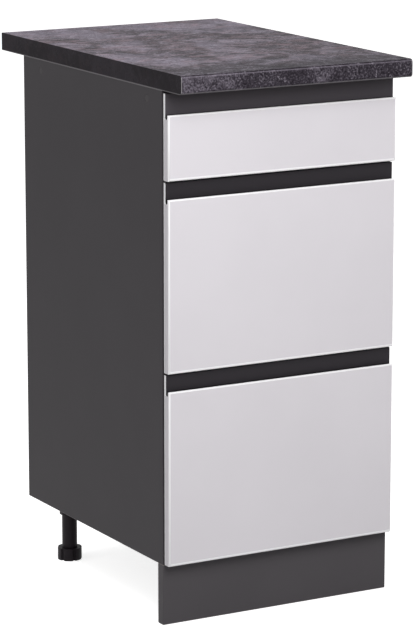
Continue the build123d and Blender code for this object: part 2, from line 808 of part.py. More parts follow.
drawers = (
    ("bottom", bottom_front_bottom, bottom_front_height, pull_opening, deep_box_height),
    ("middle", middle_front_bottom, middle_front_height, pull_opening, deep_box_height),
    ("top", top_front_bottom, top_front_height, top_pull_opening, top_box_height),
)
for name, bottom, height, opening, box_height in drawers:
    box_low = bottom + box_lift
    screw_heights = (box_low + front_screw_inset, box_low + box_height - front_screw_inset)
    drawer_front(name, bottom, height, opening, screw_heights)
    front_screws(name, screw_heights)
    drawer_box(name, box_low, box_height, screw_heights)
    runner(name, box_low + runner_lift)

# ---- Bumper pads on the front edges of the sides, four behind each front
pad_places = []
for name, bottom, height, opening, box_height in drawers:
    pad_places += [(half_width - pad_side_inset, bottom + pad_end_inset)]
    pad_places += [(half_width - pad_side_inset, bottom + height - pad_end_inset)]
with BuildPart() as bumper_pads:
    with BuildSketch(Plane.XZ.offset(-carcass_front)):
        with Locations(*both_sides(*pad_places)):
            RegularPolygon(pad_diameter / 2, small_round_sides)
    extrude(amount=front_stand_off - pad_play)
save(bumper_pads, "bumper_pads")
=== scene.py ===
import json
import math

import bmesh
import bpy
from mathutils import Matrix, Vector

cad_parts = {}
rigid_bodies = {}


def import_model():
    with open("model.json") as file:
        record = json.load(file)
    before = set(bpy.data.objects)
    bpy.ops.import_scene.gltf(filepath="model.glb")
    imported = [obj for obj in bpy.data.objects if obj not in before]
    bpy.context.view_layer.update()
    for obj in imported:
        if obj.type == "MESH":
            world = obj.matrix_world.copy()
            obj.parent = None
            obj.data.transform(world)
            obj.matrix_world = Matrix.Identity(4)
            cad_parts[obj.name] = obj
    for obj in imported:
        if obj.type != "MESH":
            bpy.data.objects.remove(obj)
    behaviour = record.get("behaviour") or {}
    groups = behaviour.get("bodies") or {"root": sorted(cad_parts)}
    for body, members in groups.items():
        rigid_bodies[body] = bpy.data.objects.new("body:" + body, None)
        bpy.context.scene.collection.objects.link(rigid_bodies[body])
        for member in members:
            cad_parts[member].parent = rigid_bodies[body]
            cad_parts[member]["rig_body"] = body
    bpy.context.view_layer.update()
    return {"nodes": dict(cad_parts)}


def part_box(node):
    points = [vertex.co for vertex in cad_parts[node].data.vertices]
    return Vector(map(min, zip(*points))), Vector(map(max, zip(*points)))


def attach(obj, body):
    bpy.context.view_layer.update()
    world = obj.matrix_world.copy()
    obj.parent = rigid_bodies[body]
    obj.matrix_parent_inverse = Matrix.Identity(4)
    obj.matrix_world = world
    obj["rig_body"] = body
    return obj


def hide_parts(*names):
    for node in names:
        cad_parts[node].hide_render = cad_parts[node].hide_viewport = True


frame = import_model()


# ---- Camera
# The cabinet is seen from its front left corner and from above its worktop, through a long lens that
# hardly narrows its sides.
camera_place = (-2.383, -4.255, 1.465)
camera_turn = 29.37  # degrees, from straight at the fronts towards the right
camera_tilt = 12.2  # degrees, down
camera_lens = 176.2  # millimetres
camera_film = 36.0  # millimetres, along the picture's long side

lens = bpy.data.cameras.new("camera")
lens.sensor_width = camera_film
lens.lens = camera_lens
camera = bpy.data.objects.new("camera", lens)
camera.location = camera_place
camera.rotation_euler = (math.radians(90 - camera_tilt), 0, math.radians(-camera_turn))
bpy.context.scene.collection.objects.link(camera)
bpy.context.scene.camera = camera
bpy.context.scene.view_settings.view_transform = "Standard"


# ---- Carcass boards: two sides, bottom panel, two top rails and the plinth
# Chipboard, 16 mm, with dark grey melamine paper pressed on both faces, a shade paler on the plinth.
# Edges that show are banded in the same grey, the others are left as the saw cut them, and every corner
# is broken with a scraper.
MM = 0.001
melamine_grey = (63, 60, 63)
melamine_light = (69, 66, 69)
plinth_grey = (82, 79, 82)
plinth_light = (88, 85, 88)
paper_core = (120, 117, 119)
chip_pale = (190, 160, 118)
chip_dark = (128, 98, 66)
saw_line = 0.6 * MM  # how far the paper's pale core shows round a cut edge
film_grain = 0.12 * MM  # depth, on the paper's face
cut_skin = 0.02 * MM  # what lies within this of a cut edge's face is raw
board_corner = 0.35 * MM
merge_distance = 0.002 * MM
flat_turn = 0.5  # degrees between two faces that still count as one


def colour(red, green, blue):
    """A colour as it shows on a screen, 0 to 255, as the linear colour that shaders take."""
    levels = [level / 255 for level in (red, green, blue)]
    return (*[((level + 0.055) / 1.055) ** 2.4 for level in levels], 1.0)


class Field:
    """What a node gives. Arithmetic on it, and comparisons, add Math nodes to the same tree."""

    def __init__(self, maker, socket):
        self.maker = maker
        self.socket = socket

    def __add__(self, other):
        return self.maker.math("ADD", self, other)

    def __sub__(self, other):
        return self.maker.math("SUBTRACT", self, other)

    def __rsub__(self, other):
        return self.maker.math("SUBTRACT", other, self)

    def __mul__(self, other):
        return self.maker.math("MULTIPLY", self, other)

    def __truediv__(self, other):
        return self.maker.math("DIVIDE", self, other)

    def __gt__(self, limit):
        return self.maker.math("GREATER_THAN", self, limit)

    def __lt__(self, limit):
        return self.maker.math("LESS_THAN", self, limit)

    def __or__(self, other):
        """The larger of two, which joins masks."""
        return self.maker.math("MAXIMUM", self, other)

    def __abs__(self):
        return self.maker.math("ABSOLUTE", self)

    __radd__ = __add__
    __rmul__ = __mul__

    def other(self, name):
        """Another output of the same node."""
        return Field(self.maker, self.socket.node.outputs[name])


class Maker:
    """Adds nodes to one tree."""

    def __init__(self, tree):
        self.tree = tree

    def node(self, kind, settings=None, inputs=None, output=0):
        """A node of a kind, with its settings set first and then its sockets' values or links."""
        made = self.tree.nodes.new(kind)
        for name, value in (settings or {}).items():
            if name == "stops":
                while len(made.color_ramp.elements) < len(value):
                    made.color_ramp.elements.new(1.0)
                for element, (place, shade) in zip(made.color_ramp.elements, value):
                    element.position = place
                    element.color = shade
            else:
                setattr(made, name, value)
        for name, value in (inputs or {}).items():
            for one in value if isinstance(value, list) else [value]:
                if isinstance(one, Field):
                    self.tree.links.new(one.socket, made.inputs[name])
                else:
                    made.inputs[name].default_value = one
        return Field(self, made.outputs[output])

    def math(self, operation, *values):
        return self.node("ShaderNodeMath", {"operation": operation}, dict(enumerate(values)))

    def step(self, value, start, end):
        """0 where the value is below start, 1 above end, and smooth between them."""
        settings = {"interpolation_type": "SMOOTHSTEP"}
        return self.node("ShaderNodeMapRange", settings, {0: value, 1: start, 2: end})

    def mix(self, first, second, share):
        """A colour between two, by a share from 0 to 1."""
        return self.node("ShaderNodeMix", {"data_type": "RGBA"}, {0: share, 6: first, 7: second}, 2)

    def ramp(self, value, *stops):
        """A colour by a value from 0 to 1, through stops that are each a value and its colour."""
        return self.node("ShaderNodeValToRGB", {"stops": stops}, {0: value})


class Finish(Maker):
    """A surface finish. Its patterns lie in the object's own coordinates."""

    def __init__(self, name, **constants):
        self.material = bpy.data.materials.new(name)
        self.material.use_nodes = True
        super().__init__(self.material.node_tree)
        self.shader = self.tree.nodes["Principled BSDF"]
        self.place = self.node("ShaderNodeTexCoord", {}, {}, "Object")
        self.feed(**constants)

    def feed(self, **sockets):
        """Sets or links the shader's sockets, as Base_Color or Roughness."""
        for name, value in sockets.items():
            socket = self.shader.inputs[name.replace("_", " ")]
            if isinstance(value, Field):
                self.tree.links.new(value.socket, socket)
            else:
                socket.default_value = value

    def axes(self):
        split = self.node("ShaderNodeSeparateXYZ", {}, {0: self.place})
        return split, split.other("Y"), split.other("Z")

    def stretched(self, scale, turn=(0, 0, 0)):
        """The place, stretched and turned, for patterns with a direction."""
        return self.node(
            "ShaderNodeMapping", {}, {"Vector": self.place, "Scale": scale, "Rotation": turn}
        )

    def noise(self, scale, detail, roughness, distortion=0.0, at=None):
        """Soft noise from 0 to 1, scale times a metre, at the object's own place or at another."""
        sizes = {"Scale": scale, "Detail": detail, "Roughness": roughness, "Distortion": distortion}
        place = self.place if at is None else at
        return self.node("ShaderNodeTexNoise", {}, {"Vector": place, **sizes})

    def cells(self, scale, output):
        """A pattern of cells, each of a colour of its own."""
        return self.node("ShaderNodeTexVoronoi", {}, {"Vector": self.place, "Scale": scale}, output)

    def bump(self, height, depth):
        """A relief as deep as depth, from a height from 0 to 1."""
        return self.node("ShaderNodeBump", {}, {"Height": height, "Distance": depth})


def chipboard(finish):
    """Colour and height of a sawn chipboard edge: pressed chips, coarse in the middle."""
    chips = finish.cells(420, "Color")
    shade = finish.node("ShaderNodeSeparateColor", {}, {0: chips})
    crumbs = finish.noise(900, detail=4, roughness=0.7)
    tone = finish.ramp(
        shade * 0.6 + crumbs * 0.5, (0.2, colour(*chip_dark)), (0.8, colour(*chip_pale))
    )
    return tone, shade * 0.5 + crumbs


def melamine(
    name, node, sawn, paper=melamine_grey, light=melamine_light, core=paper_core, **constants
):
    """Melamine-faced board. sawn names the faces of the node that are raw, such as '+Z'."""
    finish = Finish(name, **constants)
    low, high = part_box(node)
    axes = finish.axes()
    raw = rim = 0.0
    for face in sawn:
        axis = "XYZ".index(face[1])
        if face[0] == "+":
            depth = high[axis] - axes[axis]
        else:
            depth = axes[axis] - low[axis]
        raw = (depth < cut_skin) | raw
        rim = (depth < saw_line) | rim
    clouds = finish.noise(7, detail=4, roughness=0.6)
    pearl = finish.noise(1500, detail=3, roughness=0.6)
    face_colour = finish.mix(
        colour(*paper), colour(*light), finish.step(clouds * 0.6 + pearl * 0.4, 0.35, 0.7) * 0.45
    )
    chips, crumbs = chipboard(finish)
    edged = finish.mix(face_colour, colour(*core), rim)
    finish.feed(
        Base_Color=finish.mix(edged, chips, raw),
        Roughness=0.42 + 0.1 * pearl + raw * 0.4,
        Normal=finish.bump(pearl * (1 - raw) * 0.35 + crumbs * raw, film_grain),
    )
    return finish


def soften(mesh, sharp):
    """Shades a mesh smooth, apart from edges that turn by more than sharp degrees."""
    mesh.polygons.foreach_set("use_smooth", [True] * len(mesh.polygons))
    mesh.set_sharp_from_angle(angle=math.radians(sharp))


def dress(piece, finish, slot, body, *nodes, even=True):
    """Gives a piece its finish and lets it ride on a body, in place of CAD nodes if it stands for some."""
    piece.data.materials.clear()
    piece.data.materials.append(finish.material)
    if even:
        weigh = piece.modifiers.new("even shading", "WEIGHTED_NORMAL")
        weigh.keep_sharp = True
    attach(piece, body)
    if nodes:
        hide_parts(*nodes)
    return piece


def eased(node, finish, slot, corner=0.0, sharp=35.0, segments=2):
    """A merged copy of a CAD node, shaded smooth round its curves, with its sharp corners broken."""
    shape = bmesh.new()
    shape.from_mesh(frame["nodes"][node].data)
    bmesh.ops.remove_doubles(shape, verts=shape.verts, dist=merge_distance)
    bmesh.ops.dissolve_limit(
        shape, angle_limit=math.radians(flat_turn), verts=shape.verts, edges=shape.edges
    )
    mesh = bpy.data.meshes.new(f"{node}_eased")
    shape.to_mesh(mesh)
    shape.free()
    soften(mesh, sharp)
    piece = bpy.data.objects.new(f"{node}_eased", mesh)
    bpy.context.scene.collection.objects.link(piece)
    if corner:
        bevel = piece.modifiers.new("broken corners", "BEVEL")
        bevel.width = corner
        bevel.segments = segments
        bevel.limit_method = "ANGLE"
        bevel.angle_limit = math.radians(sharp)
    return dress(piece, finish, slot, frame["nodes"][node]["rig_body"], node)


matt = {"Specular_IOR_Level": 0.06}
side_finish = melamine("side_board", "side_left", ("+Y", "+Z", "-Z"), **matt)
for side in ("left", "right"):
    eased(f"side_{side}", side_finish, "carcass_board", board_corner)
bottom_finish = melamine("bottom_board", "bottom_panel", ("+Y",), **matt)
eased("bottom_panel", bottom_finish, "carcass_board", board_corner)
plinth_finish = melamine("plinth_board", "plinth", ("+Z", "-Z"), plinth_grey, plinth_light, **matt)
eased("plinth", plinth_finish, "carcass_board", board_corner)
for rail in ("front_rail", "rear_rail"):
    rail_sawn = ("+Y",) if rail == "front_rail" else ("-Y", "+Y")
    eased(rail, melamine(f"{rail}_board", rail, rail_sawn, **matt), "rail_board", board_corner)


# ---- Screws and cover caps of the rails
# Thick steel screws hold each rail from outside, through the sides. A thin plastic cap closes each
# hole, pressed in until it is flush with the board.
cap_radius = 6 * MM
cap_depth = 1 * MM
cap_rim = 0.8 * MM  # how far in from its edge a cap rounds over
cap_dome = 0.35 * MM  # and how far down
cap_sides = 40
dome_rings = 5
cap_grey = (67, 64, 66)
screw_bright = (176, 172, 164)
worn_levels = 9  # how much paler plastic is where it is worn
dull_share = 0.93  # of its brightness is left where plating is dull
fine_grain = 0.02 * MM  # depth, on a smooth moulding
rolling_grain = 0.01 * MM  # depth, on plated steel
weld_distance = 0.001 * MM
spin_seed = 7


class Recipe(Maker):
    """Geometry nodes with named inputs, run on a mesh that holds one vertex for each place."""

    def __init__(self, name, **sizes):
        super().__init__(bpy.data.node_groups.new(name, "GeometryNodeTree"))
        self.name = name
        self.sockets = {}
        self.tree.interface.new_socket("Places", in_out="INPUT", socket_type="NodeSocketGeometry")
        self.tree.interface.new_socket("Piece", in_out="OUTPUT", socket_type="NodeSocketGeometry")
        for size, value in {"Finish": None, **sizes}.items():
            kind = {type(None): "Material", int: "Int", float: "Float"}[type(value)]
            socket = self.tree.interface.new_socket(
                size.replace("_", " "), in_out="INPUT", socket_type=f"NodeSocket{kind}"
            )
            if value is not None:
                socket.default_value = value
            self.sockets[size] = socket.identifier
        self.entry = self.tree.nodes.new("NodeGroupInput")
        self.places = Field(self, self.entry.outputs["Places"])

    def size(self, name):
        return Field(self, self.entry.outputs[name.replace("_", " ")])

    def axes(self):
        split = self.node(
            "ShaderNodeSeparateXYZ", {}, {0: self.node("GeometryNodeInputPosition")}
        )
        return split, split.other("Y"), split.other("Z")

    def vector(self, x=0.0, y=0.0, z=0.0):
        return self.node("ShaderNodeCombineXYZ", {}, {0: x, 1: y, 2: z})

    def move(self, shape, place):
        return self.node("GeometryNodeSetPosition", {}, {"Geometry": shape, "Position": place})

    def move_by(self, shape, way):
        return self.node("GeometryNodeTransform", {}, {"Geometry": shape, "Translation": way})

    def join(self, *shapes):
        return self.node("GeometryNodeJoinGeometry", {}, {0: list(shapes)})

    def skin(self, columns, rows):
        """A grid to roll up: its shape, how far round (0 to 1) and how far along (0 to 1) each point is."""
        counts = {"Size X": 1.0, "Size Y": 1.0, "Vertices X": columns, "Vertices Y": rows}
        grid = self.node("GeometryNodeMeshGrid", {}, counts)
        x, y, _ = self.axes()
        return grid, x + 0.5, y + 0.5

    def rolled(self, grid, round_share, radius, height):
        """The grid rolled round the Z axis, with its seam and poles closed."""
        turn = round_share * math.tau
        place = self.vector(
            radius * self.math("COSINE", turn), radius * self.math("SINE", turn), height
        )
        weld = {"Geometry": self.move(grid, place), "Distance": weld_distance}
        return self.node("GeometryNodeMergeByDistance", {}, weld)

    def turned(self, sides, stops):
        """A closed shape turned round Z, through stops from the middle of its foot to that of its top.
        Each stop is a radius and a height."""
        grid, turn, rise = self.skin(sides + 1, len(stops))
        along = rise * (len(stops) - 1)
        radius, height = stops[0]
        for number, (before, after) in enumerate(zip(stops, stops[1:])):
            share = self.step_flat(along, number, number + 1)
            radius = share * (after[0] - before[0]) + radius
            height = share * (after[1] - before[1]) + height
        return self.rolled(grid, turn, radius, height)

    def domed(self, radius, height, rim, dome):
        """The stops of a rim that rounds over to a flat or domed top, and of the top's middle."""
        bends = [math.pi / 2 * ring / (dome_rings - 1) for ring in range(dome_rings)]
        over = [(radius + rim * (math.cos(b) - 1), height + dome * (math.sin(b) - 1)) for b in bends]
        return over + [(0.0, height)]

    def step_flat(self, value, start, end):
        """0 below start, 1 above end, and straight between them."""
        return self.node("ShaderNodeMapRange", {}, {0: value, 1: start, 2: end})

    def finish(self, shape, aimed=True, spin=False):
        """Sets the shape at each place, along the place's aim and spun by chance where asked, and closes
        the recipe."""
        inputs = {"Points": self.places, "Instance": shape}
        if aimed:
            aim = self.node(
                "GeometryNodeInputNamedAttribute", {"data_type": "FLOAT_VECTOR"}, {"Name": "aim"}
            )
            facing = self.node("FunctionNodeAlignRotationToVector", {"axis": "Z"}, {"Vector": aim})
            if spin:
                chance = self.node(
                    "FunctionNodeRandomValue", {}, {2: 0.0, 3: math.tau, "Seed": spin_seed}, 1
                )
                twist = self.node(
                    "FunctionNodeAxisAngleToRotation", {}, {"Axis": (0, 0, 1), "Angle": chance}
                )
                facing = self.node(
                    "FunctionNodeRotateRotation",
                    {"rotation_space": "LOCAL"},
                    {"Rotation": facing, "Rotate By": twist},
                )
            inputs["Rotation"] = facing
        placed = self.node("GeometryNodeInstanceOnPoints", {}, inputs)
        real = self.node("GeometryNodeRealizeInstances", {}, {0: placed})
        done = self.node(
            "GeometryNodeSetMaterial", {}, {"Geometry": real, "Material": self.size("Finish")}
        )
        exit_node = self.tree.nodes.new("NodeGroupOutput")
        self.tree.links.new(done.socket, exit_node.inputs["Piece"])
        return self

    def make(self, name, places, finish, sharp=35.0, **sizes):
        """Runs the recipe on places, each a point and the way it faces, and keeps a plain mesh."""
        spots = bpy.data.meshes.new(f"{name}_places")
        spots.from_pydata([point for point, _ in places], [], [])
        aims = spots.attributes.new("aim", "FLOAT_VECTOR", "POINT")
        aims.data.foreach_set("vector", [part for _, aim in places for part in aim])
        holder = bpy.data.objects.new(f"{name}_places", spots)
        bpy.context.scene.collection.objects.link(holder)
        modifier = holder.modifiers.new(self.name, "NODES")
        modifier.node_group = self.tree
        modifier[self.sockets["Finish"]] = finish.material
        for size, value in sizes.items():
            modifier[self.sockets[size]] = value
        bpy.context.view_layer.update()
        evaluated = holder.evaluated_get(bpy.context.evaluated_depsgraph_get())
        mesh = bpy.data.meshes.new_from_object(evaluated)
        mesh.name = name
        bpy.data.objects.remove(holder)
        soften(mesh, sharp)
        piece = bpy.data.objects.new(name, mesh)
        bpy.context.scene.collection.objects.link(piece)
        return piece


def plastic(name, shade, grain, roughness, depth, **constants):
    """Moulded plastic: a fine grain, a little uneven in gloss, and faintly paler where it is worn."""
    finish = Finish(name, **constants)
    spark = finish.noise(grain, detail=3, roughness=0.6)
    flow = finish.noise(30, detail=3, roughness=0.5)
    paler = colour(*[min(255, level + worn_levels) for level in shade])
    finish.feed(
        Base_Color=finish.mix(colour(*shade), paler, finish.step(flow * 0.5 + spark * 0.5, 0.4, 0.75)),
        Roughness=roughness - 0.08 + 0.16 * spark,
        Normal=finish.bump(spark, depth),
    )
    return finish


def plated_steel(name, shade, roughness, grain=(1, 1, 1)):
    """Zinc-plated steel: fine rolling lines and a faintly cloudy plating."""
    finish = Finish(name, Metallic=1.0)
    rolled = finish.noise(500, detail=3, roughness=0.6, at=finish.stretched(grain))
    plating = finish.noise(60, detail=4, roughness=0.6, distortion=0.3)
    dull = colour(*[level * dull_share for level in shade])
    finish.feed(
        Base_Color=finish.mix(dull, colour(*shade), finish.step(plating, 0.35, 0.65)),
        Roughness=roughness - 0.06 + 0.16 * rolled + 0.03 * plating,
        Normal=finish.bump(rolled, rolling_grain),
    )
    return finish


def carry_over(node, finish):
    """A CAD node whose shape stays as it is, in its finish."""
    skin = frame["nodes"][node].data
    skin.materials.clear()
    skin.materials.append(finish.material)


disc_recipe = Recipe(
    "turned_disc", Radius=cap_radius, Height=cap_depth, Rim=cap_rim, Dome=cap_dome, Sides=cap_sides
)
disc_radius, disc_top = disc_recipe.size("Radius"), disc_recipe.size("Height")
disc_rim = disc_recipe.domed(disc_radius, disc_top, disc_recipe.size("Rim"), disc_recipe.size("Dome"))
disc_recipe.finish(
    disc_recipe.turned(disc_recipe.size("Sides"), [(0.0, 0.0), (disc_radius, 0.0), *disc_rim])
)
screw_steel = plated_steel("screw_steel", screw_bright, 0.35)
carry_over("rail_screws", screw_steel)

cap_low, cap_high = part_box("cover_caps")
cap_finish = plastic("cap_plastic", cap_grey, 900, 0.4, fine_grain, **matt)
cap_rows = (cap_low.y + cap_radius, cap_high.y - cap_radius)
cap_level = (cap_low.z + cap_high.z) / 2
cap_places = [
    (Vector((side * (cap_high.x - cap_depth), y, cap_level)), (side, 0, 0))
    for side in (-1, 1)
    for y in cap_rows
]
caps = disc_recipe.make(
    "cover_caps_domed", cap_places, cap_finish,
    Radius=cap_radius, Height=cap_depth, Rim=cap_rim, Dome=cap_dome, Sides=cap_sides,
)
dress(caps, cap_finish, "cap_plastic", "carcass", "cover_caps")


# ---- Cams and bolts
# Zinc cams, let into the underside of the bottom panel, draw it tight against the bolts that are
# screwed into the sides.
cam_grey = (150, 150, 152)
cam_corner = 0.3 * MM
cam_finish = plated_steel("cam_zinc", cam_grey, 0.45)
eased("cams", cam_finish, "cam_zinc", cam_corner)
carry_over("cam_bolts", screw_steel)


# ---- Back panel
# Thin hardboard, coated white on the side that faces the drawers and left brown behind, slid down in
# the grooves of the sides.
hardboard_brown = (122, 88, 60)
hardboard_pale = (150, 114, 82)
back_white = (205, 202, 198)
back_relief = 0.15 * MM
back_shade = 6  # levels from the whitest of the coating to the greyest
screen_waves = 1600  # radians a metre, of the print that the press's screen leaves behind

back_finish = Finish("back_board")
back_low, back_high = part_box("back_panel")
back_axes = back_finish.axes()
behind = back_axes[1] > (back_low.y + back_high.y) / 2
lengthwise = back_finish.stretched((1, 1, 0.35))
fibres = back_finish.noise(260, detail=6, roughness=0.75, distortion=1.2, at=lengthwise)
screen = back_finish.math("SINE", back_axes[2] * screen_waves) * 0.5 + 0.5
brown = back_finish.mix(
    colour(*hardboard_brown), colour(*hardboard_pale), back_finish.step(fibres, 0.3, 0.7)
)
greyer = colour(*[level - back_shade for level in back_white])
white = back_finish.mix(colour(*back_white), greyer, back_finish.noise(1200, detail=2, roughness=0.5))
back_finish.feed(
    Base_Color=back_finish.mix(white, brown, behind),
    Roughness=0.5 + behind * 0.25,
    Normal=back_finish.bump(fibres * (0.15 + behind) + screen * behind * 0.1, back_relief),
)
carry_over("back_panel", back_finish)


# ---- Worktop
# Chipboard with a printed stone decor under clear melamine, heated and rolled round the front edge, so
# it has no joint there. Brown backing paper closes the underside, the rear edge is sawn, and black
# plastic bands are glued to the ends.
nose_radius = 6 * MM
nose_steps = 12
stone_dark = (25, 21, 26)
stone_middle = (65, 60, 68)
stone_light = (126, 119, 130)
stone_pale = (147, 137, 149)
stone_lavender = (146, 138, 154)
stone_rose = (143, 120, 128)
stone_fleck = (172, 166, 176)
stone_relief = 0.2 * MM
rosy_reach = (5 * MM, 160 * MM)  # from the front, over which the rosy tint comes in
bend_reach = (6 * MM, 9 * MM)  # from the front, over which the stronger speckle of the bend ends
front_right_shade_reach = (-100 * MM, 450 * MM)  # from the middle, right and front added, over which painted shade darkens the decor
crease_height = (0.4 * MM, 1.5 * MM)  # below the top, of the dark line where the bend starts
crest_highlight_height = (1.6 * MM, 3.4 * MM)  # below the top, of the painted highlight line on the bend
# colour of the painted highlight lines on the worktop's edges
edge_highlight_grey = (150, 147, 150)
nose_highlight_height = 2.4 * MM  # of the painted highlight line at the foot of the nose
backing_paper = (118, 92, 70)
paper_shade = 0.9  # of its brightness is left where the backing paper is darkest
decor_wrap = 30 * MM  # how far the decor reaches under the nose
hidden_skin = 0.2 * MM  # what lies within this of the underside or the rear has their finish
edge_black = (35, 32, 35)
band_relief = 0.06 * MM
band_face = 0.95 * MM  # what lies further out than this from the worktop's end is a band's face
# painted highlight lines along the end bands' front and lower edges
band_highlight_width = 1.5 * MM
band_highlight_height = 1.2 * MM

top_low, top_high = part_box("worktop")

slab_recipe = Recipe(
    "postformed_slab",
    Depth=top_high.y - top_low.y, Thickness=top_high.z - top_low.z, Nose_radius=nose_radius,
    Length=top_high.x - top_low.x, Steps=nose_steps,
)
outline = slab_recipe.node(
    "GeometryNodeCurvePrimitiveQuadrilateral",
    {},
    {"Width": slab_recipe.size("Depth"), "Height": slab_recipe.size("Thickness")},
)
along = slab_recipe.axes()[0]
outline = slab_recipe.node(
    "GeometryNodeFilletCurve",
    {"mode": "POLY"},
    {
        "Curve": outline,
        "Count": slab_recipe.size("Steps"),
        "Radius": slab_recipe.size("Nose_radius") * (along < 0.0),
    },
)


def extruded(recipe, curve, length):
    """The solid between a flat outline and its copy at a length along Z."""
    floor = recipe.node("GeometryNodeFillCurve", {"mode": "NGONS"}, {"Curve": curve})
    lifted = recipe.node(
        "GeometryNodeExtrudeMesh",
        {"mode": "FACES"},
        {"Mesh": floor, "Offset": (0, 0, 1), "Offset Scale": length, "Individual": False},
    )
    underside = recipe.node("GeometryNodeFlipFaces", {}, {"Mesh": floor})
    whole = {"Geometry": recipe.join(lifted, underside), "Distance": weld_distance}
    return recipe.node("GeometryNodeMergeByDistance", {}, whole)


quarter_turn = math.pi / 2
slab = extruded(slab_recipe, outline, slab_recipe.size("Length"))
lying = (quarter_turn, 0, quarter_turn)  # with its length along X
slab = slab_recipe.node("GeometryNodeTransform", {}, {"Geometry": slab, "Rotation": lying})
slab_recipe.finish(slab, aimed=False)


def speckled_stone(finish, front):
    """Printed slate, rosy at the back and bluer towards the front, with painted shade that darkens it
    towards the front right. It gives the colour and the height, from clouds and patches down to
    speckle and flecks."""
    x, y, _ = finish.axes()
    rosy = finish.step(y, front + rosy_reach[0], front + rosy_reach[1])
    front_right_shade = finish.step(x - y, *front_right_shade_reach)
    nose = 1 - finish.step(y, front + bend_reach[0], front + bend_reach[1])
    drift = finish.noise(5, detail=3, roughness=0.5, distortion=0.6)
    clouds = finish.noise(15, detail=6, roughness=0.65, distortion=0.8)
    patches = finish.noise(48, detail=7, roughness=0.74, distortion=0.5)
    speckle = finish.noise(300, detail=3, roughness=0.65)
    tone = clouds * 0.3 + patches * (0.44 - nose * 0.22) + speckle * (0.26 + nose * 0.22)
    stone = finish.ramp(
        tone, (0.435, colour(*stone_dark)), (0.5, colour(*stone_middle)), (0.57, colour(*stone_light))
    )
    stone = finish.mix(stone, colour(*stone_pale), rosy * 0.09)
    stone = finish.mix(stone, colour(*stone_middle), (1 - rosy) * 0.25)
    stone = finish.mix(stone, colour(*stone_light), nose * 0.06)
    # painted shade: the decor darkened towards the front right
    stone = finish.mix(stone, colour(*stone_dark), front_right_shade * 0.32)
    lavender = finish.step(drift + clouds * 0.5, 0.7, 0.85)
    stone = finish.mix(stone, colour(*stone_lavender), lavender * rosy * 0.4)
    drawn = finish.stretched((0.45, 1.5, 1), (0, 0, 0.5))
    veins = finish.noise(26, detail=6, roughness=0.7, distortion=1.6, at=drawn)
    stone = finish.mix(stone, colour(*stone_rose), finish.step(veins, 0.48, 0.62) * rosy * 0.45)
    pits = finish.step(finish.noise(170, detail=5, roughness=0.75, distortion=0.8), 0.53, 0.62)
    stone = finish.mix(stone, colour(*stone_dark), pits * 0.65)
    flecks = finish.step(speckle, 0.56, 0.68) * finish.step(patches, 0.46, 0.58)
    relief = patches * 0.6 + speckle * 0.5 - pits * 0.5
    return finish.mix(stone, colour(*stone_fleck), flecks * 0.45), relief


stone = Finish("worktop_stone", Specular_IOR_Level=0.02)
_, y, z = stone.axes()
decor, relief = speckled_stone(stone, top_low.y)
at_front = y < top_low.y + nose_radius
# painted highlight line along the foot of the nose
edge_highlight = (z < top_low.z + nose_highlight_height) * at_front
crease, crest_highlight = [
    (z < top_high.z - upper) * (z > top_high.z - lower) for upper, lower in (crease_height, crest_highlight_height)
]
broken = stone.step(stone.noise(60, detail=3, roughness=0.6), 0.35, 0.6)
# painted highlight along the upper bend of the nose
decor = stone.mix(decor, colour(*stone_light), crest_highlight * at_front * 0.4)
decor = stone.mix(decor, colour(*stone_dark), crease * at_front * broken * 0.9)
decor = stone.mix(decor, colour(*edge_highlight_grey), edge_highlight * 0.5)
darker = colour(*[level * paper_shade for level in backing_paper])
paper = stone.mix(colour(*backing_paper), darker, stone.noise(90, detail=5, roughness=0.6))
under = (z < top_low.z + hidden_skin) * (y > top_low.y + decor_wrap)
chips, crumbs = chipboard(stone)
rear = y > top_high.y - hidden_skin
stone.feed(
    Base_Color=stone.mix(stone.mix(decor, paper, under), chips, rear),
    Roughness=0.52 - 0.1 * relief + 0.2 * under + 0.3 * rear,
    Normal=stone.bump(relief + crumbs * rear, stone_relief),
)

edge_finish = Finish("worktop_edge_black", Specular_IOR_Level=0.03)
x, y, z = edge_finish.axes()
decor, relief = speckled_stone(edge_finish, top_low.y)
outer = abs(x) > top_high.x + band_face
# painted highlight lines on the band's front edge and, at half strength, its lower edge
edge_highlight = (y < top_low.y + band_highlight_width) * (1 - outer)
edge_highlight = edge_highlight | (z < top_low.z + band_highlight_height) * 0.5
edge_colour = edge_finish.mix(colour(*edge_black), decor, 0.08)
edge_finish.feed(
    Base_Color=edge_finish.mix(edge_colour, colour(*edge_highlight_grey), edge_highlight),
    Roughness=0.5 + 0.1 * relief,
    Normal=edge_finish.bump(relief, band_relief),
)
slab_middle_y = (top_low.y + top_high.y) / 2
slab_middle_z = (top_low.z + top_high.z) / 2
slabs = (
    ("worktop", stone, "worktop_laminate"),
    ("worktop_edge_left", edge_finish, "worktop_edge"),
    ("worktop_edge_right", edge_finish, "worktop_edge"),
)
for node, finish, slot in slabs:
    low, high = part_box(node)
    start = Vector((low.x, slab_middle_y, slab_middle_z))
    piece = slab_recipe.make(
        f"{node}_slab", [(start, (0, 0, 1))], finish,
        Depth=high.y - low.y, Thickness=high.z - low.z, Nose_radius=nose_radius, Length=high.x - low.x,
        Steps=nose_steps,
    )
    dress(piece, finish, slot, "carcass", node)


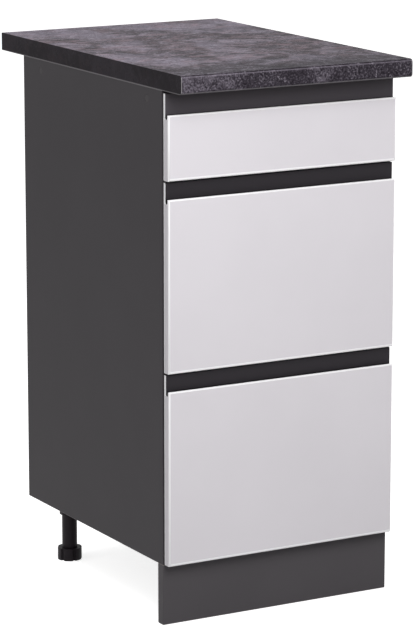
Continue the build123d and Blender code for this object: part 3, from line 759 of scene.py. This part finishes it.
# ---- Angle brackets of the worktop
# Folded steel angles, one leg screwed to a side and the other up into the worktop, with cross-head
# chipboard screws.
bracket_sheet = 2 * MM
bracket_half_width = 10 * MM
bracket_hole = 15 * MM  # from the corner, along either leg
head_radius = 4.25 * MM  # large heads hold the fronts, small ones the hardware
small_head_radius = 3.4 * MM
head_height = 2.5 * MM
small_head_height = 1.9 * MM
recess_length = 4.6 * MM
small_recess_length = 3.6 * MM
recess_width = 1.0 * MM
recess_depth = 1.6 * MM
small_recess_depth = 1.28 * MM
shank_radius = 2.0 * MM
front_shank_length = 22 * MM
short_shank_length = 12 * MM
tip_share = 1.6  # a screw's point, in shank radii
head_round_in = 0.85  # of a head's radius, over which its edge rounds over
head_round_down = 0.7  # of its height, the same
screw_sides = 32
bracket_grey = (186, 187, 190)
bracket_corner = 0.25 * MM

screw_recipe = Recipe(
    "cross_head_screw",
    Head_radius=head_radius, Head_height=head_height, Cone_height=0.0, Recess_length=recess_length,
    Recess_width=recess_width, Recess_depth=recess_depth, Shank_radius=shank_radius,
    Shank_length=front_shank_length,
)
head_reach = screw_recipe.size("Head_radius")
head_size = screw_recipe.size("Head_height")
shank_reach = screw_recipe.size("Shank_radius")
shank_end = screw_recipe.size("Shank_length") * -1
screw = screw_recipe.turned(
    screw_sides,
    [
        (0.0, shank_end),
        (shank_reach, shank_end + shank_reach * tip_share),
        (shank_reach, screw_recipe.size("Cone_height") * -1),
        (head_reach, 0.0),
        *screw_recipe.domed(
            head_reach, head_size, head_reach * head_round_in, head_size * head_round_down
        ),
    ],
)
arms = []
for across in (("Recess_length", "Recess_width"), ("Recess_width", "Recess_length")):
    size = screw_recipe.vector(
        *[screw_recipe.size(side) for side in across], screw_recipe.size("Recess_depth") * 2
    )
    bar = screw_recipe.node("GeometryNodeMeshCube", {}, {"Size": size})
    arms.append(screw_recipe.move_by(bar, screw_recipe.vector(0.0, 0.0, head_size)))
screw = screw_recipe.node(
    "GeometryNodeMeshBoolean",
    {"operation": "DIFFERENCE", "solver": "EXACT"},
    {"Mesh 1": screw, "Mesh 2": arms},
)
screw_recipe.finish(screw, spin=True)


def screws(name, places, body, *nodes, **sizes):
    """Screws at places, each the seat of a head and the way it faces, that ride on a body."""
    piece = screw_recipe.make(name, places, screw_steel, **sizes)
    return dress(piece, screw_steel, "screw_steel", body, *nodes)


small_pan = {
    "Head_radius": small_head_radius, "Head_height": small_head_height,
    "Recess_length": small_recess_length, "Recess_depth": small_recess_depth,
    "Shank_length": short_shank_length,
}
bracket_finish = plated_steel("bracket_zinc", bracket_grey, 0.34, (1, 0.15, 1))
eased("worktop_brackets", bracket_finish, "zinc_steel", bracket_corner, sharp=50.0)
bracket_low, bracket_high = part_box("worktop_brackets")
bracket_places = []
for side in (-1, 1):
    for y in (bracket_low.y + bracket_half_width, bracket_high.y - bracket_half_width):
        on_side = (side * (bracket_high.x - bracket_sheet), y, bracket_high.z - bracket_hole)
        on_top = (side * (bracket_high.x - bracket_hole), y, bracket_high.z - bracket_sheet)
        bracket_places += [(Vector(on_side), (-side, 0, 0)), (Vector(on_top), (0, 0, -1))]
screws("bracket_screws", bracket_places, "carcass", **small_pan)


# ---- Feet: sockets, tubes, screw bases and the clips that hold the plinth
# Black moulded plastic. The socket is screwed under the carcass, the tube plugs into it, and the lobed
# base turns on its coarse thread to level the unit. Sprung clips on the plinth grip the front tubes.
foot_black = (31, 26, 30)
foot_grain = 0.06 * MM
foot_corner = 0.4 * MM
clip_corner = 0.3 * MM
foot_plastic = plastic("foot_plastic", foot_black, 700, 0.5, foot_grain, Specular_IOR_Level=0.12)
eased("foot_sockets", foot_plastic, "black_plastic", foot_corner)
eased("foot_tubes", foot_plastic, "black_plastic", foot_corner, segments=3)
eased("plinth_clips", foot_plastic, "black_plastic", clip_corner)

feet = ("front_left_foot", "front_right_foot", "rear_left_foot", "rear_right_foot")
socket_plate = 4 * MM
socket_screw_reach = 19.5 * MM  # from the foot's axis, along X and along Y
plate_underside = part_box("foot_sockets")[1].z - socket_plate
socket_places = []
for foot in feet:
    low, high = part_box(foot)
    for x in (-1, 1):
        for y in (-1, 1):
            spot = ((low + high) / 2).xy + Vector((x, y)) * socket_screw_reach
            socket_places.append((Vector((*spot, plate_underside)), (0, 0, -1)))
screws("socket_screws", socket_places, "carcass", **small_pan)

base_radius = 19.6 * MM
base_height = 20 * MM
base_lobes = 6
notch_depth = 3.0 * MM
notch_share = 0.3  # of a lobe's width
notch_turn = 26.0  # degrees from +X to a notch of the left feet, which the right ones mirror
outline_points = 180
spindle_radius = 10.1 * MM
spindle_length = 55 * MM
spindle_sink = 1 * MM  # how far the spindle starts below the top of the base
spindle_end = 0.001  # of its length, past which either end is closed
thread_pitch = 5 * MM
thread_depth = 1.1 * MM
thread_sides = 32
thread_rows = 110

base_recipe = Recipe(
    "lobed_base",
    Radius=base_radius, Height=base_height, Lobes=base_lobes, Notch_depth=notch_depth, Turn=0.0,
    Spindle_radius=spindle_radius, Spindle_length=spindle_length, Pitch=thread_pitch,
    Thread_depth=thread_depth,
)
ring = base_recipe.node(
    "GeometryNodeCurvePrimitiveCircle",
    {"mode": "RADIUS"},
    {"Resolution": outline_points, "Radius": 1.0},
)
ring_x, ring_y, _ = base_recipe.axes()
bearing = base_recipe.math("ARCTAN2", ring_y, ring_x)
wave = base_recipe.math(
    "COSINE", (bearing - base_recipe.size("Turn")) * base_recipe.size("Lobes")
)
cut = base_recipe.step(wave, math.cos(notch_share * math.pi), 1.0)
reach = base_recipe.size("Radius") - base_recipe.size("Notch_depth") * cut
ring = base_recipe.move(ring, base_recipe.vector(ring_x * reach, ring_y * reach, 0.0))
knob = extruded(base_recipe, ring, base_recipe.size("Height"))
grid, turn_share, rise = base_recipe.skin(thread_sides + 1, thread_rows)
height = rise * base_recipe.size("Spindle_length")
ridge = base_recipe.math(
    "COSINE", (height / base_recipe.size("Pitch") + turn_share) * math.tau
) * 0.5 + 0.5
inside = base_recipe.size("Spindle_radius") - base_recipe.size("Thread_depth") * ridge
closed = (rise < 1 - spindle_end) * (rise > spindle_end) * inside
place_on_base = height + base_recipe.size("Height") - spindle_sink
spindle = base_recipe.rolled(grid, turn_share, closed, place_on_base)
base_recipe.finish(base_recipe.join(knob, spindle), aimed=False)

for foot in feet:
    low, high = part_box(foot)
    middle = Vector(((low.x + high.x) / 2, (low.y + high.y) / 2, low.z))
    notch = notch_turn if middle.x < 0 else 180 - notch_turn
    piece = base_recipe.make(
        f"{foot}_lobed", [(middle, (0, 0, 1))], foot_plastic, sharp=40.0,
        Radius=base_radius, Height=base_height, Lobes=base_lobes, Notch_depth=notch_depth,
        Turn=math.radians(notch), Spindle_radius=spindle_radius, Spindle_length=spindle_length,
        Pitch=thread_pitch, Thread_depth=thread_depth,
    )
    dress(piece, foot_plastic, "black_plastic", f"{foot}_base", foot)


# ---- Drawer fronts
# Fibreboard in satin white lacquer. Painted shade makes its narrow sides greyer, and a painted highlight
# runs along its rounded edges. The pull is milled along the top edge with a lip behind it, and sprayed dark
# grey; painted shade darkens the foot of its groove, and the top pull is painted lighter, as painted light
# where the worktop's overhang shades it.
lacquer_white = (228, 224, 229)
lacquer_grey = (222, 218, 223)
# painted highlight along the rounded edges of the face, the flanks' rear edges and the lip ends
highlight_white = (252, 251, 253)
# painted shade on the fronts' narrow sides
flank_shade_grey = (212, 208, 213)
# the pull's dark spray; the top one is painted lighter, as painted light where the worktop's overhang
# shades it
pull_greys_top_lit = {"top": (75, 71, 76), "middle": (40, 37, 41), "bottom": (42, 39, 43)}
# painted shade at the foot of the pull's groove
groove_shade_black = (14, 13, 14)
highlight_width = 2.2 * MM
lower_highlight_width = 4.4 * MM
highlight_reach = 3.0 * MM  # how far back from the face the painted highlight goes
flank_skin = 0.3 * MM  # what lies within this of an end is its side
lacquer_coat = 0.25
lacquer_peel = 0.04 * MM  # depth of the fine orange peel
pull_wall = 4.0 * MM
pull_width = 6.0 * MM
pull_depth = 7.0 * MM
pull_openings = {"top": 31.5 * MM, "middle": 24.5 * MM, "bottom": 24.5 * MM}  # face top to lip top
spray_slack = 0.05 * MM  # how far the dark spray goes over the wall, and stays off the ends
spray_over = 1.0 * MM  # how far its mask goes into the lip
spray_under = 0.1 * MM  # and under the groove
lip_sprayed = 1.2 * MM  # how far down the lip's upper edge is sprayed
lip_bare = 1.0 * MM  # how much of that edge stays white at the back
groove_shade = (2.0 * MM, 1.5 * MM)  # below and above the face's top, between black and grey
drawers = tuple(pull_openings)


def front_lacquer(drawer):
    """Satin lacquer of one front, with its pull sprayed dark. Its edges carry a painted highlight,
    its sides and groove painted shade, and the top front's pull is painted lighter as painted light.
    """
    low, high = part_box(f"{drawer}_front")
    finish = Finish(f"{drawer}_lacquer", Coat_Roughness=0.25, Specular_IOR_Level=0.15)
    x, y, z = finish.axes()
    face_top = high.z - pull_openings[drawer]
    wall_back = low.y + pull_wall
    out = abs(x)  # from the middle to either end
    groove = (
        (y > wall_back - spray_slack)
        * (y < wall_back + pull_width + spray_over)
        * (z > face_top - pull_depth - spray_under)
    )
    lip_edge = (z > high.z - lip_sprayed) * (y < high.y - lip_bare)
    sprayed = (groove | lip_edge) * (out < high.x - spray_slack)

    peel = finish.noise(260, detail=3, roughness=0.55)
    haze = finish.noise(6, detail=3, roughness=0.5)
    white = finish.mix(colour(*lacquer_white), colour(*lacquer_grey), finish.step(haze, 0.3, 0.7) * 0.5)
    # painted highlight mask: the face's edges, and the flanks' rear edges and lip ends
    rim = (out > high.x - highlight_width) | (z > face_top - highlight_width)
    rim = (rim | (z < low.z + lower_highlight_width)) * (y < low.y + highlight_reach)
    flank = out > high.x - flank_skin
    back_highlight = y > high.y - highlight_width
    lip_end = (z > face_top - pull_depth) * (y > wall_back)
    rim = rim | (back_highlight | lip_end) * flank
    # painted shade on the narrow sides, then the painted highlight on the edges
    white = finish.mix(finish.mix(white, colour(*flank_shade_grey), flank), colour(*highlight_white), rim)

    # painted shade, darkest at the foot of the groove
    shade = 1 - finish.step(z, face_top - groove_shade[0], face_top + groove_shade[1])
    dark = finish.mix(colour(*pull_greys_top_lit[drawer]), colour(*groove_shade_black), shade)
    finish.feed(
        Base_Color=finish.mix(white, dark, sprayed),
        Roughness=0.36 + 0.05 * peel + 0.2 * sprayed,
        Coat_Weight=lacquer_coat * (1 - sprayed),
        Normal=finish.bump(peel, lacquer_peel),
    )
    return finish


for drawer in drawers:
    eased(f"{drawer}_front", front_lacquer(drawer), "front_lacquer", sharp=30.0)


# ---- Drawer boxes
# Light grey melamine-faced chipboard, 12 mm, dowelled and glued at the corners, with a thin bottom in
# grooves. The upper edges are banded, the lower ones sawn.
box_grey = (226, 225, 223)
box_light = (234, 233, 231)
box_core = (190, 176, 156)
box_corner = 0.7 * MM
bottom_white = (222, 221, 219)

for drawer in drawers:
    for part in ("left", "right", "front", "back"):
        node = f"{drawer}_box_{part}"
        finish = melamine(f"{node}_board", node, ("-Z",), box_grey, box_light, box_core)
        eased(node, finish, "drawer_board", box_corner)
    sheet_finish = melamine(f"{drawer}_bottom_sheet", f"{drawer}_box_bottom", (), bottom_white, box_light)
    carry_over(f"{drawer}_box_bottom", sheet_finish)


# ---- Screws of the fronts
# Pan-head screws with a cross recess, driven from inside the box through its front board.
front_screw_spread = 100 * MM
front_screw_inset = 24 * MM
for drawer in drawers:
    board_low, board_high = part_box(f"{drawer}_box_front")
    levels = (board_low.z + front_screw_inset, board_high.z - front_screw_inset)
    screw_places = [
        (Vector((side * front_screw_spread, board_high.y, level)), (0, 1, 0))
        for side in (-1, 1)
        for level in levels
    ]
    screws(
        f"{drawer}_front_pan_screws", screw_places, f"{drawer}_drawer", f"{drawer}_front_screws",
        Shank_length=front_shank_length,
    )


# ---- Runners
# Three rolled, zinc-plated members a side, with steel balls between them in plastic cages. The outer
# member is screwed to the cabinet's side, the inner one to the drawer's.
runner_grey = (174, 176, 180)
ball_bright = (214, 214, 216)
cage_grey = (62, 62, 64)
ball_radius = 1.95 * MM
ball_column = 8.2 * MM  # ball centres from the side panel
ball_pitch = 14 * MM
half_cage_sheet = 0.4 * MM

runner_zinc = plated_steel("runner_zinc", runner_grey, 0.3, (1, 0.06, 1))
ball_steel = plated_steel("ball_steel", ball_bright, 0.16)
cage_finish = plastic("cage_plastic", cage_grey, 800, 0.4, fine_grain)
ball_recipe = Recipe("ball_row", Ball_radius=ball_radius)
ball_recipe.finish(
    ball_recipe.node(
        "GeometryNodeMeshIcoSphere", {}, {"Radius": ball_recipe.size("Ball_radius"), "Subdivisions": 2}
    ),
    aimed=False,
)
side_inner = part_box("side_right")[0].x
runner_sheet = 1.2 * MM
runner_screw_length = 13 * MM
sunk_radius = shank_radius + runner_sheet
drawer_screw_inset = 30 * MM  # from either end of the drawer member
drawer_screw_length = 11 * MM
sunk_low, sunk_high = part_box("runner_screws")
sunk_rows = (sunk_low.y + sunk_radius, sunk_high.y - sunk_radius)
sunk_places = []
for drawer in drawers:
    low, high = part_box(f"{drawer}_runner_cabinet_members")
    for side in (-1, 1):
        for y in sunk_rows:
            seat = Vector((side * (side_inner - runner_sheet), y, (low.z + high.z) / 2))
            sunk_places.append((seat, (-side, 0, 0)))
    low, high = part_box(f"{drawer}_runner_drawer_members")
    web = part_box(f"{drawer}_box_right")[1].x + runner_sheet
    member_rows = (low.y + drawer_screw_inset, (low.y + high.y) / 2, high.y - drawer_screw_inset)
    member_places = [
        (Vector((side * web, y, (low.z + high.z) / 2)), (side, 0, 0))
        for side in (-1, 1)
        for y in member_rows
    ]
    screws(
        f"{drawer}_member_screws", member_places, f"{drawer}_drawer",
        **{**small_pan, "Shank_length": drawer_screw_length},
    )
screws(
    "runner_screws_sunk", sunk_places, "carcass", "runner_screws",
    **{**small_pan, "Head_radius": sunk_radius, "Head_height": 0.0, "Cone_height": runner_sheet,
       "Shank_length": runner_screw_length - runner_sheet},
)
for drawer in drawers:
    for member in ("cabinet", "middle", "drawer"):
        eased(f"{drawer}_runner_{member}_members", runner_zinc, "zinc_steel", sharp=50.0)
    for layer in ("outer", "inner"):
        node = f"{drawer}_{layer}_ball_cages"
        eased(node, cage_finish, "cage_plastic", sharp=50.0)
        low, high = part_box(node)
        count = int((high.y - low.y) / ball_pitch)
        margin = (high.y - low.y - (count - 1) * ball_pitch) / 2
        ball_places = [
            (Vector((side * (side_inner - ball_column), low.y + margin + n * ball_pitch, level)), (0, 0, 1))
            for side in (-1, 1)
            for level in (low.z + half_cage_sheet, high.z - half_cage_sheet)
            for n in range(count)
        ]
        balls = ball_recipe.make(f"{drawer}_{layer}_balls", ball_places, ball_steel, sharp=180.0)
        dress(balls, ball_steel, "zinc_steel", f"{drawer}_{layer}_cage", even=False)


# ---- Bumper pads
# Soft, pale rubber domes, stuck to the front edges of the sides. The fronts close against them, two to
# each end of a front.
pad_radius = 4.0 * MM
pad_rim = 3.6 * MM
pad_dome = 1.2 * MM
pad_sides = 23
pad_inset = 14 * MM  # from the upper or lower edge of a front
pad_pale = (196, 194, 190)
pad_finish = plastic("pad_rubber", pad_pale, 500, 0.35, fine_grain)
pad_low, pad_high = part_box("bumper_pads")
pad_line = pad_high.x - pad_radius
pad_levels = []
for drawer in drawers:
    low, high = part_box(f"{drawer}_front")
    pad_levels += [low.z + pad_inset, high.z - pad_inset]
pad_places = [
    (Vector((side * pad_line, pad_high.y, level)), (0, -1, 0)) for side in (-1, 1) for level in pad_levels
]
pads = disc_recipe.make(
    "bumper_pads_domed", pad_places, pad_finish,
    Radius=pad_radius, Height=pad_high.y - pad_low.y, Rim=pad_rim, Dome=pad_dome, Sides=pad_sides,
)
dress(pads, pad_finish, "pad_rubber", "carcass", "bumper_pads")


# ---- Floor, backdrop and lights
# A pale studio floor under a white surround, and four broad soft lamps: a strong one in front, one above
# and behind, and a weaker one on either side.
floor_size = 30.0
surround_light = 0.38
floor_pale = (0.37, 0.37, 0.37, 1.0)
floor_dull = (0.35, 0.35, 0.35, 1.0)
floor_glow = 0.78  # for the camera and reflections alone, so that it meets the surround
full_white = (1.0, 1.0, 1.0, 1.0)
full_black = (0.0, 0.0, 0.0, 1.0)

floor_mesh = bpy.data.meshes.new("floor")
half_floor = floor_size / 2
floor_mesh.from_pydata(
    [(x * half_floor, y * half_floor, 0) for x, y in ((-1, -1), (1, -1), (1, 1), (-1, 1))],
    [],
    [(0, 1, 2, 3)],
)
floor = bpy.data.objects.new("floor", floor_mesh)
bpy.context.scene.collection.objects.link(floor)
floor_finish = Finish("floor_paint", Roughness=0.9, Specular_IOR_Level=0.1)
floor_cloud = floor_finish.noise(3, detail=2, roughness=0.5)
ray = floor_finish.node("ShaderNodeLightPath", {}, {}, "Is Camera Ray")
seen = ray | ray.other("Is Glossy Ray")
floor_finish.feed(
    Base_Color=floor_finish.mix(floor_finish.mix(floor_pale, floor_dull, floor_cloud), full_white, seen),
    Emission_Color=floor_finish.mix(full_black, full_white, seen),
    Emission_Strength=floor_glow,
)
floor_mesh.materials.append(floor_finish.material)

world = bpy.data.worlds.new("surround")
bpy.context.scene.world = world
world.use_nodes = True
surround = Maker(world.node_tree)
ray = surround.node("ShaderNodeLightPath", {}, {}, "Is Camera Ray")
shown = ray | (ray.other("Is Glossy Ray") | ray.other("Is Transmission Ray"))
lighting = surround.node("ShaderNodeBackground", {}, {"Color": full_white, "Strength": surround_light})
backdrop = surround.node("ShaderNodeBackground", {}, {"Color": full_white, "Strength": 1.0})
both = surround.node("ShaderNodeMixShader", {}, {0: shown, 1: lighting, 2: backdrop})
world.node_tree.links.new(both.socket, world.node_tree.nodes["World Output"].inputs["Surface"])

lamps = (
    ("lamp_front", (-0.5, -1.8, 1.75), (0.0, -0.25, 0.65), 1.3, 32.0),
    ("lamp_left", (-3.0, 0.2, 2.0), (-0.2, 0.0, 0.6), 1.6, 9.0),
    ("lamp_above", (-0.45, 0.95, 2.6), (0.0, 0.0, 0.8), 1.5, 14.5),
    ("lamp_right", (3.1, 0.5, 1.9), (0.2, 0.0, 0.5), 1.6, 10.0),
)
for name, place, target, size, power in lamps:
    light = bpy.data.lights.new(name, "AREA")
    light.size = size
    light.energy = power
    lamp = bpy.data.objects.new(name, light)
    lamp.location = place
    lamp.rotation_euler = (Vector(target) - Vector(place)).to_track_quat("-Z", "Y").to_euler()
    bpy.context.scene.collection.objects.link(lamp)
